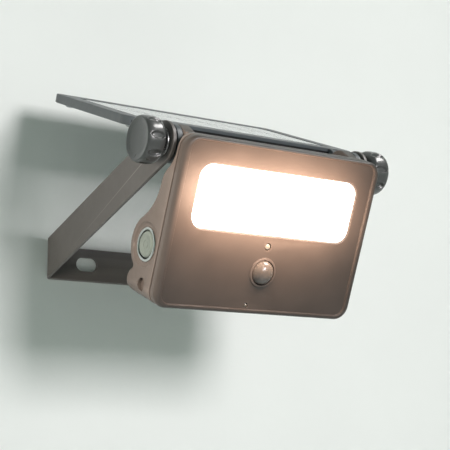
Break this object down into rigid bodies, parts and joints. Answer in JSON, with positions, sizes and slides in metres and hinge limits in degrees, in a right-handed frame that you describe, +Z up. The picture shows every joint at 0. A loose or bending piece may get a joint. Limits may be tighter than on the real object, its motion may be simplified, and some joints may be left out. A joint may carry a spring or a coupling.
{
  "type": "solar flood light",
  "caption": "Wall flood light with motion sensor: lamp head and solar panel on one tilt axis, held by clamp knobs in a folded steel bracket.",
  "frame": {"origin": "middle of the bracket strap's wall face", "axes": "+X to the right seen from the front, +Y into the wall, +Z up"},
  "size_m": [0.162, 0.1634, 0.137],
  "materials": {
    "bracket_steel": "satin dark grey powder coat",
    "lamp_plastic": "fine moulded texture, charcoal",
    "panel_plastic": "satin slate grey",
    "knob_plastic": "semi-gloss dark grey",
    "hardware_steel": "zinc plated",
    "bright_ring": "polished",
    "button_plastic": "satin grey-green",
    "frosted_window": "frosted, lit from behind",
    "sensor_lens": "smoky, translucent",
    "white_plastic": "white",
    "circuit_board": "green solder mask",
    "seal_rubber": "matt black",
    "cell_wrap": "shrink sleeve",
    "solar_glass": "dark cells under clear glass"
  },
  "bodies": {
    "bracket": {"wall_bracket": "bracket_steel", "friction_washer_left": "seal_rubber", "friction_washer_right": "seal_rubber"},
    "left_knob": {"knob_left": "knob_plastic", "knob_stud_left": "hardware_steel", "flat_washer_left": "hardware_steel"},
    "right_knob": {"knob_right": "knob_plastic", "knob_stud_right": "hardware_steel", "flat_washer_right": "hardware_steel"},
    "lamp": {"rear_housing": "lamp_plastic", "front_bezel": "lamp_plastic", "housing_gasket": "seal_rubber", "window_lens": "frosted_window", "reflector_tray": "white_plastic", "led_board": "white_plastic", "pir_lens": "sensor_lens", "pir_sensor": "hardware_steel", "daylight_window": "sensor_lens", "indicator_light": "sensor_lens", "control_board": "circuit_board", "battery_cell_1": "cell_wrap", "battery_cell_2": "cell_wrap", "battery_cradle": "white_plastic", "button_ring": "bright_ring", "tact_switch": "seal_rubber", "switch_board": "circuit_board", "captive_nut_left": "hardware_steel", "captive_nut_right": "hardware_steel", "housing_screw_1": "hardware_steel", "housing_screw_2": "hardware_steel", "housing_screw_3": "hardware_steel", "housing_screw_4": "hardware_steel", "housing_screw_5": "hardware_steel", "housing_screw_6": "hardware_steel"},
    "button": {"push_button": "button_plastic"},
    "panel": {"panel_frame": "panel_plastic", "solar_laminate": "solar_glass", "panel_back_cover": "panel_plastic", "panel_screw_1": "hardware_steel", "panel_screw_2": "hardware_steel", "panel_screw_3": "hardware_steel", "panel_screw_4": "hardware_steel"}
  },
  "joints": [
    {"name": "lamp_tilt", "type": "hinge", "parent": "bracket", "child": "lamp", "pos_m": [0, -0.1384, 0.0477], "axis": [1, 0, 0], "range_deg": [-45, 20]},
    {"name": "panel_tilt", "type": "hinge", "parent": "bracket", "child": "panel", "pos_m": [0, -0.1384, 0.0477], "axis": [1, 0, 0], "range_deg": [-15, 60]},
    {"name": "left_knob_turn", "type": "hinge", "parent": "bracket", "child": "left_knob", "pos_m": [0, -0.1384, 0.0477], "axis": [1, 0, 0], "continuous": true},
    {"name": "right_knob_turn", "type": "hinge", "parent": "bracket", "child": "right_knob", "pos_m": [0, -0.1384, 0.0477], "axis": [-1, 0, 0], "continuous": true},
    {"name": "button_press", "type": "slide", "parent": "lamp", "child": "button", "axis": [1, 0, 0], "range_m": [0, 0.001], "stiffness_N_per_m": 600, "springref_m": -0.0005}
  ]
}
